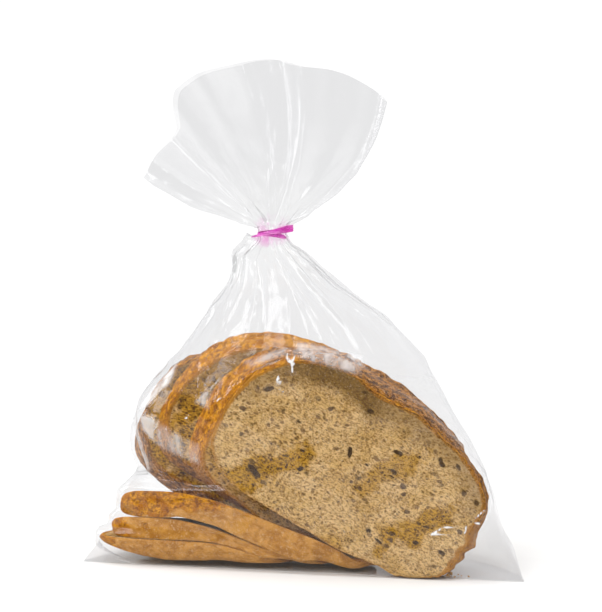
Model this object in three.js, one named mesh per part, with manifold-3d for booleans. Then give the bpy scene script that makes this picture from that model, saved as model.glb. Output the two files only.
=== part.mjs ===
// Sliced loaf in a clear film bag: a soft belly of stacked slices, film shoulders running up to a
// gathered neck, a strip tie wound round the neck and a fan-shaped frill of film above it.
// Millimetres, +Z up. Origin: centre of the footprint, at table height.

import * as THREE from "three";
import { mergeVertices } from "three/addons/utils/BufferGeometryUtils.js";
import Module from "manifold-3d";

// ---- sizes ----------------------------------------------------------------------------------
const HALF_WIDTH = 135.5; // half the flat bag width, middle to pointed bottom corner
const SEAM_FRONT = 48; // the bottom seam runs along the front of the footprint
const NECK_X = -26.5; // the neck leans to the left of the middle
const NECK_Z = 198.5; // where the film stops narrowing
const NECK_HEIGHT = 7; // straight gathered length that carries the tie
const NECK_HALF_WIDTH = 8;
const NECK_HALF_DEPTH = 6.5;
const FRILL_LENGTH = 101.5; // neck to mouth in the long middle of the fan
const FRILL_SHORT_LENGTH = 85; // neck to mouth on the short left lap of the fan
const FRILL_HALF_DEPTH = 5; // half the mouth's opening, front to back
const FRILL_FOLD = 8; // how far the broad folds of the frill stand to and fro
const FRILL_FOLDS = 2.6; // number of whole folds across the fan
const TIE_WIDTH = 5; // width of the tie strip
const TIE_THICK = 0.8;
const TIE_GAP = 0.35; // clearance between the tie and the film

const AROUND = 72; // points round each ring of film
const BELLY_RINGS = 34;
const FRILL_RINGS = 16;

// The belly and shoulders, from the table up. left, right, front and back are how far the film
// reaches from the upright axis. seamLeft and seamRight are the depths at which the two side seams
// run: the right one stays near the front slice, the left one follows the slices behind. square is
// the exponent of the rounded outline (2 is an ellipse, more is squarer), pleat is the relative
// height of the gathers that run up into the neck.
const LEVELS = [
  level(0, HALF_WIDTH, HALF_WIDTH, SEAM_FRONT, 43, -46, -46, 1.75, 0),
  level(12, 128.5, 130, 50, 46, -27, -44, 2.0, 0),
  level(28, 114, 121, 51, 48, -12, -42, 2.3, 0),
  level(48, 105.5, 113.5, 51, 47, -2, -38, 2.6, 0),
  level(75, 113.5, 102, 51, 44, 8, -36, 2.7, 0),
  level(98, 111.5, 87, 50, 42, 10, -30, 2.6, 0.01),
  level(122, 90, 71.5, 47, 40, 8, -20, 2.4, 0.02),
  level(145, 71, 50, 38, 33, 4, -8, 2.2, 0.05),
  level(168, 53, 17, 25, 22, 0, 0, 2, 0.08),
  level(186, 47, -6, 14, 13, 0, 0, 2, 0.09),
];

function level(z, left, right, front, back, seamLeft, seamRight, square, pleat) {
  return { z, left, right, front, back, seamLeft, seamRight, square, pleat };
}

const DEG = Math.PI / 180;

// ---- film -----------------------------------------------------------------------------------

// A value that runs smoothly from 0 to 1 between two limits.
function ease(x, from, to) {
  return THREE.MathUtils.smoothstep(x, from, to);
}

// One named size of the belly at height z: a smooth curve through the levels (Catmull-Rom slopes).
function sizeAt(name, z) {
  const last = LEVELS.length - 1;
  let i = 0;
  while (i < last - 1 && z > LEVELS[i + 1].z) i += 1;
  const a = LEVELS[i];
  const b = LEVELS[i + 1];
  const before = LEVELS[Math.max(i - 1, 0)];
  const after = LEVELS[Math.min(i + 2, last)];
  const span = b.z - a.z;
  const slopeA = ((b[name] - before[name]) / (b.z - before.z)) * span;
  const slopeB = ((after[name] - a[name]) / (after.z - a.z)) * span;
  const t = (z - a.z) / span;
  const t2 = t * t;
  const t3 = t2 * t;
  return (
    (2 * t3 - 3 * t2 + 1) * a[name] +
    (t3 - 2 * t2 + t) * slopeA +
    (3 * t2 - 2 * t3) * b[name] +
    (t3 - t2) * slopeB
  );
}

// A power that keeps its sign, used for the rounded outline.
function signedPower(value, exponent) {
  return Math.sign(value) * Math.abs(value) ** exponent;
}

// A closed ring of film at height z: four quarter outlines that meet at the side seams.
function bellyRing(z) {
  const ring = [];
  const left = sizeAt("left", z);
  const right = sizeAt("right", z);
  const front = sizeAt("front", z);
  const back = sizeAt("back", z);
  const seamLeft = sizeAt("seamLeft", z);
  const seamRight = sizeAt("seamRight", z);
  const square = sizeAt("square", z);
  const pleat = sizeAt("pleat", z);
  const middle = (right - left) / 2;
  const half = (right + left) / 2;
  for (let i = 0; i < AROUND; i += 1) {
    const turn = (i / AROUND) * 2 * Math.PI;
    const gather = 1 + pleat * Math.cos(9 * turn + 0.6);
    const across = signedPower(Math.cos(turn), 2 / square) * gather;
    const deep = signedPower(Math.sin(turn), 2 / square) * gather;
    const seam = seamLeft + ((seamRight - seamLeft) * (across + 1)) / 2;
    const depth = deep > 0 ? back - seam : front + seam;
    ring.push(new THREE.Vector3(middle + half * across, seam + depth * deep, z));
  }
  return ring;
}

// A plain oval ring round the gathered neck.
function neckRing(z) {
  const ring = [];
  for (let i = 0; i < AROUND; i += 1) {
    const turn = (i / AROUND) * 2 * Math.PI;
    const x = NECK_X + NECK_HALF_WIDTH * Math.cos(turn);
    const y = NECK_HALF_DEPTH * Math.sin(turn);
    ring.push(new THREE.Vector3(x, y, z));
  }
  return ring;
}

// A ring of the frill at a share s of its length: rays fan out from the neck between two edge
// directions, and each ray stands forward or back with the folds.
function frillRing(s) {
  const ring = [];
  const edgeLeft = -80 + 5 * s;
  const edgeRight = 70 - 27 * s ** 1.4;
  const grip = (1 - s) ** 2;
  for (let i = 0; i < AROUND; i += 1) {
    const turn = (i / AROUND) * 2 * Math.PI;
    const across = Math.cos(turn);
    const heading = edgeLeft + ((edgeRight - edgeLeft) * (across + 1)) / 2;
    const lap = ease(heading, -46, -34);
    const reach = s * (FRILL_SHORT_LENGTH + (FRILL_LENGTH - FRILL_SHORT_LENGTH) * lap);
    const fold = Math.sin(FRILL_FOLDS * Math.PI * across + 0.7) * FRILL_FOLD * s ** 0.9;
    const halfDepth = NECK_HALF_DEPTH + (FRILL_HALF_DEPTH - NECK_HALF_DEPTH) * s;
    ring.push(
      new THREE.Vector3(
        NECK_X + NECK_HALF_WIDTH * across * grip + reach * Math.sin(heading * DEG),
        halfDepth * Math.sin(turn) + fold,
        NECK_Z + NECK_HEIGHT + reach * Math.cos(heading * DEG),
      ),
    );
  }
  return ring;
}

// A closed solid from a run of rings: quads between neighbouring rings, and each end ring closed
// by strips that join its back half to its front half.
function solidFromRings(rings) {
  const count = rings[0].length;
  const positions = [];
  for (const ring of rings) {
    for (const p of ring) positions.push(p.x, p.y, p.z);
  }
  const index = [];
  for (let r = 0; r < rings.length - 1; r += 1) {
    for (let i = 0; i < count; i += 1) {
      const a = r * count + i;
      const b = r * count + ((i + 1) % count);
      const c = b + count;
      const d = a + count;
      index.push(a, b, c, a, c, d);
    }
  }
  const top = (rings.length - 1) * count;
  for (let i = 0; i < count / 2; i += 1) {
    const back = i;
    const backNext = i + 1;
    const front = (count - i) % count;
    const frontNext = count - i - 1;
    const corners = [back, backNext, frontNext, front];
    const faces = i === 0 ? [[0, 1, 2]] : [[0, 1, 2], [0, 2, 3]];
    for (const face of faces) {
      if (frontNext === backNext && face.includes(1) && face.includes(2)) continue;
      const [a, b, c] = face.map((k) => corners[k]);
      index.push(c, b, a);
      index.push(top + a, top + b, top + c);
    }
  }
  const geometry = new THREE.BufferGeometry();
  geometry.setAttribute("position", new THREE.Float32BufferAttribute(positions, 3));
  geometry.setIndex(index);
  return geometry;
}

function bagGeometry() {
  const rings = [];
  const topLevel = LEVELS[LEVELS.length - 1].z;
  for (let i = 0; i <= BELLY_RINGS; i += 1) {
    rings.push(bellyRing((i / BELLY_RINGS) * topLevel));
  }
  rings.push(neckRing(NECK_Z));
  rings.push(neckRing(NECK_Z + NECK_HEIGHT));
  for (let i = 1; i <= FRILL_RINGS; i += 1) {
    rings.push(frillRing((i / FRILL_RINGS) ** 1.25));
  }
  return solidFromRings(rings);
}

// ---- tie ------------------------------------------------------------------------------------
const wasm = await Module();
wasm.setup();

// A three.js geometry as a manifold-3d solid.
function toSolid(geometry) {
  const plain = geometry.index ? geometry.toNonIndexed() : geometry.clone();
  plain.deleteAttribute("normal");
  plain.deleteAttribute("uv");
  const merged = mergeVertices(plain, 1e-4);
  return new wasm.Manifold(
    new wasm.Mesh({
      numProp: 3,
      vertProperties: merged.attributes.position.array,
      triVerts: new Uint32Array(merged.index.array),
    }),
  );
}

// A manifold-3d solid back as a three.js geometry.
function toGeometry(solid) {
  const mesh = solid.getMesh();
  const geometry = new THREE.BufferGeometry();
  geometry.setAttribute("position", new THREE.Float32BufferAttribute(mesh.vertProperties, 3));
  geometry.setIndex(Array.from(mesh.triVerts));
  return geometry;
}

// The loop of the tie: an oval band standing round the neck.
function tieLoop() {
  const inX = NECK_HALF_WIDTH + TIE_GAP;
  const inY = NECK_HALF_DEPTH + TIE_GAP;
  const band = new THREE.Shape();
  band.absellipse(0, 0, inX + TIE_THICK, inY + TIE_THICK, 0, 2 * Math.PI);
  const hole = new THREE.Path();
  hole.absellipse(0, 0, inX, inY, 0, 2 * Math.PI);
  band.holes.push(hole);
  const geometry = new THREE.ExtrudeGeometry(band, {
    depth: TIE_WIDTH,
    bevelEnabled: false,
    curveSegments: 40,
  });
  return geometry.translate(NECK_X, 0, NECK_Z + (NECK_HEIGHT - TIE_WIDTH) / 2);
}

// A loose end of the tie: a flat strip that follows a path in front of the neck, given as offsets
// from the middle of the loop, and turns about its own length by roll degrees from start to end.
function tieEnd(path, widthStart, widthEnd, roll) {
  const middle = new THREE.Vector3(NECK_X, 0, NECK_Z + NECK_HEIGHT / 2);
  const curve = new THREE.CatmullRomCurve3(path.map((p) => new THREE.Vector3(...p).add(middle)));
  const steps = 12;
  const rings = [];
  for (let i = 0; i <= steps; i += 1) {
    const t = i / steps;
    const centre = curve.getPointAt(t);
    const along = curve.getTangentAt(t);
    const upright = new THREE.Vector3(0, 0, 1).applyAxisAngle(along, roll * t * DEG);
    const width = upright.addScaledVector(along, -upright.dot(along)).normalize();
    const thick = new THREE.Vector3().crossVectors(along, width);
    const halfWidth = (widthStart + (widthEnd - widthStart) * t) / 2;
    const corner = (w, h) =>
      centre
        .clone()
        .addScaledVector(width, w * halfWidth)
        .addScaledVector(thick, (h * TIE_THICK) / 2);
    rings.push([corner(1, 1), corner(-1, 1), corner(-1, -1), corner(1, -1)]);
  }
  return solidFromQuads(rings);
}

// A closed strip from four-cornered rings.
function solidFromQuads(rings) {
  const positions = [];
  const index = [];
  for (const ring of rings) {
    for (const p of ring) positions.push(p.x, p.y, p.z);
  }
  for (let r = 0; r < rings.length - 1; r += 1) {
    for (let i = 0; i < 4; i += 1) {
      const a = r * 4 + i;
      const b = r * 4 + ((i + 1) % 4);
      index.push(a, b, b + 4, a, b + 4, a + 4);
    }
  }
  const top = (rings.length - 1) * 4;
  index.push(2, 1, 0, 3, 2, 0);
  index.push(top, top + 1, top + 2, top, top + 2, top + 3);
  const geometry = new THREE.BufferGeometry();
  geometry.setAttribute("position", new THREE.Float32BufferAttribute(positions, 3));
  geometry.setIndex(index);
  return geometry;
}

function tieGeometry() {
  const face = -(NECK_HALF_DEPTH + TIE_GAP + TIE_THICK / 2);
  const broadEnd = tieEnd([[-1, face, 0.2], [6, face - 0.9, 0.5], [14.5, face - 0.6, 1.4]], 5, 5.6, 8);
  const lowEnd = tieEnd([[-1, face, -0.3], [5, face - 0.5, -1.6], [10, face + 0.9, -4.4]], 4.6, 4.2, 0);
  const thinEnd = tieEnd([[2, face, -0.2], [-5, face - 0.8, -0.9], [-12, face - 0.2, -2.4]], 4.6, 2.6, 18);
  const solid = [broadEnd, lowEnd, thinEnd].reduce(
    (sum, piece) => sum.add(toSolid(piece)),
    toSolid(tieLoop()),
  );
  return toGeometry(solid);
}

// ---- scene ----------------------------------------------------------------------------------
function namedMesh(name, geometry, look) {
  geometry.computeVertexNormals();
  const mesh = new THREE.Mesh(geometry, new THREE.MeshStandardMaterial(look));
  mesh.name = name;
  return mesh;
}

const loafInBag = new THREE.Group();
loafInBag.add(
  namedMesh("bag", bagGeometry(), { color: "#d9cdb8", roughness: 0.25, metalness: 0 }),
  namedMesh("twist_tie", tieGeometry(), { color: "#cf6f9c", roughness: 0.4, metalness: 0 }),
);

export default loafInBag;
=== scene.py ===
import math

import bpy
import numpy as np
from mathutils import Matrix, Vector


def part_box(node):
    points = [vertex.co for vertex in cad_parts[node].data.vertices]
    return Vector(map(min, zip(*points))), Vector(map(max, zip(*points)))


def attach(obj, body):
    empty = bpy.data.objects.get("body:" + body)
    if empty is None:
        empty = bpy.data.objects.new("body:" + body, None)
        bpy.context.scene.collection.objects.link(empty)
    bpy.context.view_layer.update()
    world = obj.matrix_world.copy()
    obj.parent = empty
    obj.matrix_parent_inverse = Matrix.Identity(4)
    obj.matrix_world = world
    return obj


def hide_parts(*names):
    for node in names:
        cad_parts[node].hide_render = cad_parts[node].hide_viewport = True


# ------------------------------------------------------------
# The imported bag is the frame. Its box gives the height that the camera aims at.
# ------------------------------------------------------------
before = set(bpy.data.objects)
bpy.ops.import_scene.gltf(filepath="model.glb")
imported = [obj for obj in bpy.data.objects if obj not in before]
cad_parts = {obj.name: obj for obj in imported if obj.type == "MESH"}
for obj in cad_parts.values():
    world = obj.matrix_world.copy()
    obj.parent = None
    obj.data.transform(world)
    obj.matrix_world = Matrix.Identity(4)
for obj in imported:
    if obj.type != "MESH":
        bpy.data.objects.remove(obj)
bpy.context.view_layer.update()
bag_low, bag_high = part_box("bag")
MM = 0.001

# ------------------------------------------------------------
# Camera, floor and light. A pale matt table top, which fades out far away, in a white room that is
# bright above and dim low down in front; the camera itself sees plain white there. Three soft
# boxes hang overhead, to the left, and high at the front left.
# ------------------------------------------------------------
bag_height = bag_high.z - bag_low.z
aim = np.array([-0.0080, 0.0, bag_low.z + 0.508 * bag_height])
azimuth, elevation, distance = math.radians(12), math.radians(5), 1.25
back = np.array([
    math.sin(azimuth) * math.cos(elevation),
    -math.cos(azimuth) * math.cos(elevation),
    math.sin(elevation),
])
camera_data = bpy.data.cameras.new("camera")
camera_data.lens = 119.4
camera_data.clip_start, camera_data.clip_end = 0.05, 20
camera = bpy.data.objects.new("camera", camera_data)
camera.location = aim + back * distance
camera.rotation_mode = "QUATERNION"
camera.rotation_quaternion = Vector(-back).to_track_quat("-Z", "Y")
bpy.context.scene.collection.objects.link(camera)
bpy.context.scene.camera = camera


def soft_box(name, place, toward, size, radiance):
    """A square area lamp at place, facing toward, with the power that gives its face the wanted
    brightness: power = radiance x pi x area."""
    lamp = bpy.data.lights.new(name, "AREA")
    lamp.shape, lamp.size, lamp.size_y = "RECTANGLE", size[0], size[1]
    lamp.energy = radiance * math.pi * size[0] * size[1]
    piece = bpy.data.objects.new(name, lamp)
    piece.location = place
    piece.rotation_mode = "QUATERNION"
    piece.rotation_quaternion = (Vector(toward) - Vector(place)).to_track_quat("-Z", "Y")
    bpy.context.scene.collection.objects.link(piece)


soft_box("overhead_light", (-0.15, 0.10, 1.25), (0, 0, 0.1), (0.25, 0.20), 12.0)
soft_box("left_light", (-1.15, -0.15, 0.42), (0, 0, 0.12), (0.34, 0.60), 5.5)
soft_box("front_light", (-0.60, -1.30, 1.10), (0, 0, 0.1), (1.10, 0.80), 4.6)


class Nodes:
    """Short hands for the nodes of one material, or of the surround."""

    def __init__(self, name, surround=False):
        kind = bpy.data.worlds if surround else bpy.data.materials
        self.owner = kind.new(name)
        self.owner.use_nodes = True
        self.tree = self.owner.node_tree
        self.tree.nodes.clear()
        self.end = self.tree.nodes.new("ShaderNodeOutput" + ("World" if surround else "Material"))

    def add(self, kind, out=0, settings=None, **inputs):
        """A node of a kind with its settings and its inputs (values or other nodes' sockets)."""
        node = self.tree.nodes.new("ShaderNode" + kind)
        for key, value in (settings or {}).items():
            setattr(node, key, value)
        for key, value in inputs.items():
            key = key.replace("_", " ")
            socket = node.inputs[int(key[2:])] if key.startswith("in") else node.inputs[key]
            if isinstance(value, bpy.types.NodeSocket):
                self.tree.links.new(value, socket)
            else:
                socket.default_value = value
        return node.outputs[out]

    def number(self, operation, a, b=0.0, c=0.0, clamp=False):
        """One arithmetic step on numbers."""
        how = {"operation": operation, "use_clamp": clamp}
        return self.add("Math", settings=how, in0=a, in1=b, in2=c)

    def times(self, *values):
        """The product of several numbers."""
        total = values[0]
        for value in values[1:]:
            total = self.number("MULTIPLY", total, value)
        return total

    def between(self, value, low, high, to_low=0.0, to_high=1.0):
        """A smooth step: to_low below low and to_high above high."""
        how = {"interpolation_type": "SMOOTHSTEP"}
        return self.add("MapRange", settings=how, Value=value, From_Min=low, From_Max=high,
                        To_Min=to_low, To_Max=to_high)

    def blend(self, share, a, b, mode="MIX"):
        """Two colours mixed by a share."""
        a = a if isinstance(a, bpy.types.NodeSocket) else (*a, 1)
        b = b if isinstance(b, bpy.types.NodeSocket) else (*b, 1)
        how = {"data_type": "RGBA", "blend_type": mode}
        return self.add("Mix", out=2, settings=how, in0=share, in6=a, in7=b)

    def noise(self, place, scale, detail=2.0, rough=0.5, warp=0.0):
        """Cloudy noise from 0 to 1 at a place, scale in cells per unit of place."""
        return self.add("TexNoise", Vector=place, Scale=scale, Detail=detail, Roughness=rough,
                        Distortion=warp)

    def stretched(self, place, scale, move=(0, 0, 0), turn=(0, 0, 0)):
        """A place turned and scaled along each axis, so that a pattern on it is long one way."""
        return self.add("Mapping", Vector=place, Scale=scale, Location=move, Rotation=turn)

    def swirled(self, place, scale, by, detail=1.0):
        """A place moved about by soft noise."""
        push = self.add("TexNoise", out=1, Vector=place, Scale=scale, Detail=detail)
        push = self.add("VectorMath", settings={"operation": "SCALE"}, in0=push, Scale=by)
        return self.add("VectorMath", settings={"operation": "ADD"}, in0=place, in1=push)

    def cells(self, place, scale):
        """Scattered cells: how far the nearest cell's middle is, and two random numbers for it."""
        near = self.add("TexVoronoi", Vector=place, Scale=scale)
        hue = self.add("TexVoronoi", out=1, Vector=place, Scale=scale)
        return near, self.add("SeparateColor", Color=hue), self.add("SeparateColor", out=1, Color=hue)

    def finish(self, shader):
        self.tree.links.new(shader, self.end.inputs["Surface"])
        return self.owner


n = Nodes("surround", surround=True)
behind = n.between(n.add("SeparateXYZ", out=1, Vector=n.add("TexCoord")), -0.60, 0.30, 0.16, 0.85)
high = n.between(n.add("SeparateXYZ", out=2, Vector=n.add("TexCoord")), 0.20, 0.55, 0.0, 1.35)
room = n.add("Background", Color=(1, 1, 1, 1), Strength=n.number("MAXIMUM", behind, high))
white = n.add("Background", Color=(1, 1, 1, 1), Strength=1.06)
seen = n.add("LightPath")
bpy.context.scene.world = n.finish(n.add("MixShader", in0=seen, in1=room, in2=white))
bpy.context.scene.view_settings.view_transform = "Standard"
bpy.context.scene.cycles.transparent_max_bounces = 48


def add_mesh(name, points, parts):
    """A smooth mesh object from an array of points in metres and some arrays of faces."""
    mesh = bpy.data.meshes.new(name)
    mesh.from_pydata(points, [], [face for part in parts for face in part.tolist()])
    mesh.validate()
    mesh.polygons.foreach_set("use_smooth", np.ones(len(mesh.polygons), bool))
    mesh.update()
    piece = bpy.data.objects.new(name, mesh)
    bpy.context.scene.collection.objects.link(piece)
    return piece


corners = np.array([[-1, -1, 0], [1, -1, 0], [1, 1, 0], [-1, 1, 0]])
floor = add_mesh("floor", 2.5 * corners, [np.array([[0, 1, 2, 3]])])
n = Nodes("matt_table")
place = n.add("TexCoord", out=3)
shade = n.blend(n.noise(place, 60, 3), (0.755, 0.752, 0.748), (0.785, 0.782, 0.778))
matt = n.add("BsdfDiffuse", Color=shade)
far = n.between(n.add("VectorMath", out=1, settings={"operation": "LENGTH"}, in0=place), 0.45, 1.2)
open_room = n.add("BsdfTransparent", Color=(1, 1, 1, 1))
floor.data.materials.append(n.finish(n.add("MixShader", in0=far, in1=matt, in2=open_room)))

# ------------------------------------------------------------
# Standing slices: four big slices of an oval seeded loaf, cut about 15 mm thick, leaning in a
# fan with their right ends together. Each is soft crumb, full of small holes and seeds, inside a
# baked crust. The loaf widens behind each cut, so a band of its crust shows round the cut face.
# ------------------------------------------------------------


def cloud(points, cell, seed):
    """Smooth random numbers from -1 to 1: a random value at each corner of a cubic lattice with
    this cell size, blended between the corners along an S-curve."""
    table = np.random.default_rng(seed).uniform(-1, 1, (32, 32, 32))
    place = points / cell
    corner = np.floor(place).astype(int)
    t = place - corner
    t = t * t * (3 - 2 * t)
    total = np.zeros(len(points))
    for dx in (0, 1):
        for dy in (0, 1):
            for dz in (0, 1):
                weight = np.abs([1 - dx, 1 - dy, 1 - dz] - t).prod(axis=1)
                index = (corner + (dx, dy, dz)) % 32
                total += weight * table[index[:, 0], index[:, 1], index[:, 2]]
    return total


def step(x, low, high):
    """0 below low, 1 above high, and a smooth S between."""
    t = np.clip((x - low) / (high - low), 0, 1)
    return t * t * (3 - 2 * t)


def round_table(angle, pairs):
    """A size that changes round the slice: straight lines between (degrees, size) pairs."""
    degrees, sizes = zip(*pairs)
    return np.interp(angle, degrees, sizes, period=360)


def loaf_outline(turn, width, height, top_left=2.3, top_right=2.1, low_left=3.2, low_right=2.6):
    """The outline of a slice, going round by turn: four quarter curves |x|^n + |z|^n = 1, each
    with its own fullness n. The top stands left of the middle, the left end is low, and the
    bottom is nearly flat, as a hand-shaped loaf is."""
    c, s = np.cos(turn), np.sin(turn)
    up, right = s >= 0, c >= 0
    full = np.where(up, np.where(right, top_right, top_left),
                    np.where(right, low_right, low_left))
    ca, sa = np.abs(c) ** (2 / full), np.abs(s) ** (2 / full)
    crown = np.where(up, -0.115, -0.01) * width
    x = crown + np.where(right, (width / 2 - crown) * ca, -(width / 2 + crown) * ca)
    waist = (-0.17 + 0.20 * (x + width / 2) / width) * height
    z = waist + np.where(up, (height / 2 - waist) * sa, -(height / 2 + waist) * sa)
    return x, z


def grid_faces(rows, around, capped=True, flip=False):
    """Arrays of faces for rows of points that close on themselves: a quad between each four
    neighbours and, where it is capped, a fan from each end row to one of the two points that
    follow the grid. Flip turns every face over."""
    index = np.arange(rows * around).reshape(rows, around)
    after = np.roll(index, -1, axis=1)
    parts = [np.stack([index[:-1], index[1:], after[1:], after[:-1]], -1).reshape(-1, 4)]
    if capped:
        ends = np.full((2, around), rows * around) + [[0], [1]]
        parts.append(np.stack([ends[0], index[0], after[0]], 1))
        parts.append(np.stack([ends[1], after[-1], index[-1]], 1))
    return [np.roll(part[:, ::-1], 1, axis=1) for part in parts] if flip else parts


def slice_body(width, height, thick, seed, around=420, across=46, holes=40, named_holes=(),
               flare=((0, 0.8),), torn=(), knobs=1.0, round_off=0.55, **fullness):
    """A slice as a closed surface in its own upright frame, in mm: x along the cut, y through the
    thickness, z up. Going round by turn, a profile runs from the middle of the front face out to
    the crust, back over the crust, which spreads by the flare, and in to the middle of the back
    face. The faces sink at the holes and carry fine roughness, the crust is lumpy, and between
    the two torn angles the outline is ragged. Returns points, faces and the marks that the
    material reads at each point."""
    rng = np.random.default_rng(seed)
    turn = np.arange(around) / around * 2 * np.pi
    out = 1 - (1 - np.linspace(0, 1, across + 1)[1:]) ** 1.25
    rim = np.linspace(-1, 1, 17)
    share = np.concatenate([out, np.ones(len(rim)), out[::-1]])
    depth = np.concatenate([-np.ones(across), np.sign(rim) * np.abs(rim) ** 0.8, np.ones(across)])
    near_rim = step(out, 0.9, 1.0)
    rounding = round_off * np.concatenate([near_rim, np.abs(rim) ** 6, near_rim[::-1]])
    on_rim = np.concatenate([np.zeros(across), np.ones(len(rim)), np.zeros(across)])
    ox, oz = loaf_outline(turn, width, height, **fullness)
    reach = np.hypot(ox, oz)
    angle = np.degrees(np.arctan2(oz, ox)) % 360
    outline = np.stack([ox, 0 * ox, oz], 1) + 500
    size = reach + 1.4 * cloud(outline, 34, seed) + 0.8 * cloud(outline, 11, seed + 1)
    if torn:
        ripped = step(angle, torn[0], torn[0] + 6) * step(-angle, -torn[1], -torn[1] + 6)
        rags = 2.2 * cloud(outline, 3.2, seed + 8) + 1.8 * cloud(outline, 8.0, seed + 11)
        size += ripped * (rags + 2.6)
    spread = round_table(angle, flare)
    size = size[None] - spread[None] * (1 - depth[:, None]) / 2 - rounding[:, None]
    k = share[:, None] * size / reach[None]
    rows = len(share)
    y = np.repeat(depth[:, None] * thick / 2, around, 1)
    flat = np.stack([k * ox[None], y, k * oz[None]], -1).reshape(-1, 3)
    rimness = np.repeat(on_rim[:, None], around, 1).ravel()
    over_rim = np.minimum(depth + 1, 1 - depth)[:, None] / 2 * np.hypot(thick, spread)[None]
    edge = ((1 - share)[:, None] * size - on_rim[:, None] * over_rim).ravel()
    facing = np.repeat(depth[:, None], around, 1).ravel()
    # relief of the cut faces
    sink = 0.30 * cloud(flat + 90, 1.7, seed + 2) + 0.35 * cloud(flat + 90, 4.5, seed + 3)
    sink += 0.7 * cloud(flat + 90, 22, seed + 4)
    ragged = 0.35 * cloud(flat + 90, 1.5, seed + 9)
    hollow = np.zeros(len(flat))
    spots = []
    for _ in range(holes):
        a, r = rng.uniform(0, 2 * np.pi), math.sqrt(rng.uniform(0.0, 0.80))
        hx, hz = loaf_outline(np.array([a]), width, height)
        size_of = 0.5 + 1.1 * rng.random() ** 2.5
        spots.append((r * hx[0], r * hz[0], size_of, size_of * rng.uniform(1.0, 2.6),
                      rng.uniform(-0.6, 0.6), 0.5 + 0.7 * rng.random()))
    for hx, hz, short, long, lean, deep in [*spots, *named_holes]:
        dx, dz = flat[:, 0] - hx, flat[:, 2] - hz
        along = dx * math.cos(lean) + dz * math.sin(lean)
        over = -dx * math.sin(lean) + dz * math.cos(lean)
        near = step(-np.sqrt((along / long) ** 2 + (over / short) ** 2) - 0.5 * ragged, -1.1, -0.7)
        hollow = np.maximum(hollow, near * min(deep, 1.5))
    on_face = 1 - rimness
    push = -(sink * 0.7 + hollow * 1.6) * on_face * step(edge, 0.6, 3.0)
    flat[:, 1] += push * np.sign(facing) * step(np.abs(facing), 0.6, 1.0)
    # lumps of the crust
    outward = np.stack([flat[:, 0], 0 * flat[:, 0], flat[:, 2]], 1)
    outward /= np.maximum(np.linalg.norm(outward, axis=1, keepdims=True), 1e-6)
    lumps = 0.50 * cloud(flat + 40, 5.5, seed + 5) + 0.28 * cloud(flat + 40, 2.2, seed + 6)
    rough_top = step(flat[:, 2] / height, 0.02, 0.28) * knobs
    lumps += rough_top * (1.5 * np.abs(cloud(flat + 70, 7.5, seed + 7)) - 0.6)
    lumps += rough_top * 0.5 * cloud(flat + 20, 3.1, seed + 10)
    flat += outward * (lumps * step(-edge, -2.5, 0.5))[:, None]
    points = np.vstack([flat, [0, -thick / 2, 0], [0, thick / 2, 0]])
    marks = {
        "edge": np.append(edge, [60, 60]),
        "crusty": np.append(rimness, [0, 0]),
        "hollow": np.append(hollow * on_face, [0, 0]),
        "rise": points[:, 2] / (height / 2),
    }
    return points, grid_faces(rows, around), marks


def eased_onto_table(z):
    """Heights eased onto the table, so that a foot is rounded and not cut flat: with d = z - 0.9,
    0.3 + (d + sqrt(d^2 + 3^2)) / 2, which is z - 0.6 high up and always above 0.3."""
    above = z - 0.9
    return 0.3 + (above + np.sqrt(above**2 + 3.0**2)) / 2


def polar(points):
    """Each point's angle round its slice, in degrees anticlockwise from the right."""
    return np.degrees(np.arctan2(points[:, 2], points[:, 0])) % 360


def turned(points, roll=0.0, lean=0.0, yaw=0.0, place=(0, 0, 0)):
    """Points rolled clockwise, leant back and turned, all in degrees, then moved to a place."""
    r, l, w = (math.radians(v) for v in (roll, lean, yaw))
    x = points[:, 0] * math.cos(r) + points[:, 2] * math.sin(r)
    z = -points[:, 0] * math.sin(r) + points[:, 2] * math.cos(r)
    y = points[:, 1]
    y, z = y * math.cos(l) + z * math.sin(l), -y * math.sin(l) + z * math.cos(l)
    x, y = x * math.cos(w) - y * math.sin(w), x * math.sin(w) + y * math.cos(w)
    return np.stack([x, y, z], 1) + place


def mark(piece, own, marks):
    """Stores each point's own place in its slice, and its other marks, for the material."""
    mesh = piece.data
    mesh.attributes.new("own", "FLOAT_VECTOR", "POINT").data.foreach_set("vector", own.ravel())
    for name, values in marks.items():
        mesh.attributes.new(name, "FLOAT", "POINT").data.foreach_set("value", values)


def soft_spots(own, spots, seed):
    """A mark from 0 to 1 on soft oval spots, ragged at their edges."""
    total = np.zeros(len(own))
    ragged = 0.55 * cloud(own + 33, 8, seed) + 0.40 * cloud(own + 33, 3, seed + 1)
    for x, z, long, tall, lean, strength in spots:
        a = math.radians(lean)
        dx, dz = own[:, 0] - x, own[:, 2] - z
        u = (dx * math.cos(a) + dz * math.sin(a)) / long
        v = (-dx * math.sin(a) + dz * math.cos(a)) / tall
        total = np.maximum(total, strength * step(-(np.hypot(u, v) + ragged), -1.25, -0.45))
    return total


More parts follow.
